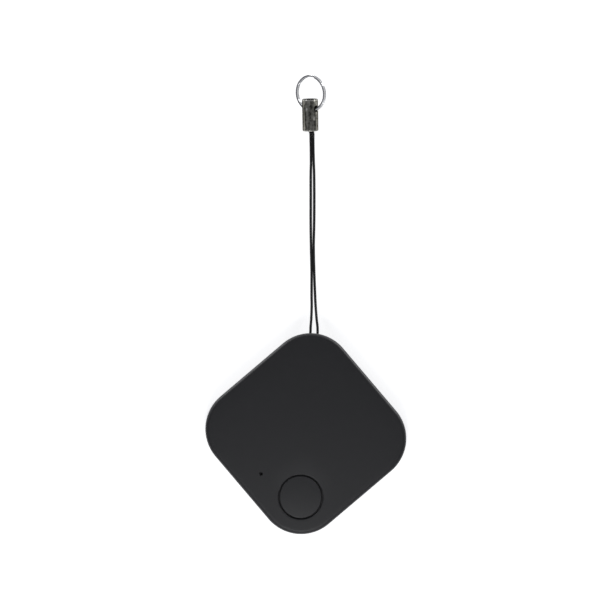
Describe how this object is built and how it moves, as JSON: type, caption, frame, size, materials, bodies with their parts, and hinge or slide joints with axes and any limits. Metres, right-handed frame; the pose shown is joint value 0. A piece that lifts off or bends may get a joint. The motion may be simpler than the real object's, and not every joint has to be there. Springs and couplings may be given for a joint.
{
  "type": "bluetooth tracker tag",
  "caption": "Flat rounded-square tracker tag with a flush push button, on a looped cord that ends in a metal barrel and a small split ring.",
  "frame": {"origin": "centre of the case's back face", "axes": "+Z out of the front face, +Y from the case's centre to the corner that the cord leaves, +X to the right seen from the front"},
  "size_m": [0.0458, 0.1042, 0.007],
  "materials": {
    "black_plastic": "fine matt texture",
    "button_plastic": "fine matt texture",
    "board": "green solder mask",
    "black_resin": "moulded",
    "steel": "brushed",
    "nickel": "plated",
    "ceramic": "fired",
    "white_resin": "moulded",
    "clear_resin": "clear",
    "copper": "enamelled wire",
    "magnet": "sintered",
    "seal": "matt",
    "cord": "braided",
    "gunmetal": "black nickel, rolled sheet",
    "ring_chrome": "bright"
  },
  "bodies": {
    "rear_case": {"rear_shell": "black_plastic", "circuit_board": "board", "bluetooth_chip": "black_resin", "crystal_can": "steel", "driver_transistor": "black_resin", "light_base": "white_resin", "light_lens": "clear_resin", "capacitor_1": "ceramic", "capacitor_2": "ceramic", "capacitor_3": "ceramic", "capacitor_4": "ceramic", "resistor_1": "black_resin", "resistor_2": "black_resin", "switch_body": "black_resin", "switch_dome": "steel", "switch_cover": "nickel", "sounder_base": "black_resin", "sounder_core": "steel", "sounder_coil": "copper", "sounder_magnet": "magnet", "sounder_diaphragm": "steel", "sounder_housing": "black_resin", "cell_holder": "black_resin", "positive_contact": "nickel", "negative_contact": "nickel"},
    "front_case": {"front_shell": "black_plastic"},
    "button": {"button_cap": "button_plastic"},
    "plunger": {"switch_plunger": "white_resin"},
    "cell": {"cell_can": "steel", "cell_seal": "seal", "cell_cap": "nickel"},
    "strap": {"strap_cord": "cord", "cord_crimp": "gunmetal"},
    "ring": {"split_ring": "ring_chrome"}
  },
  "joints": [
    {"name": "front_lift", "type": "slide", "parent": "rear_case", "child": "front_case", "axis": [0, 0, 1], "range_m": [0, 0.016]},
    {"name": "cell_lift", "type": "slide", "parent": "rear_case", "child": "cell", "axis": [0, 0, 1], "range_m": [0, 0.008]},
    {"name": "button_press", "type": "slide", "parent": "front_case", "child": "button", "axis": [0, 0, -1], "range_m": [0, 0.0003], "stiffness_N_per_m": 1500},
    {"name": "plunger_press", "type": "slide", "parent": "rear_case", "child": "plunger", "axis": [0, 0, -1], "range_m": [0, 0.0003], "deforming": ["switch_dome"]},
    {"name": "strap_swing", "type": "hinge", "parent": "rear_case", "child": "strap", "pos_m": [0, 0.02285, 0.0032], "axis": [0, 0, 1], "range_deg": [-75, 75], "deforming": ["strap_cord"]},
    {"name": "ring_swing", "type": "hinge", "parent": "strap", "child": "ring", "pos_m": [-0.00508, 0.07369, 0.0024], "axis": [0.8115, 0.0159, 0.5841], "range_deg": [-105, 105]}
  ],
  "couplings": [
    {"joint": "cell_lift", "follows": "front_lift", "ratio": 0.5},
    {"joint": "plunger_press", "follows": "button_press", "ratio": 1}
  ]
}
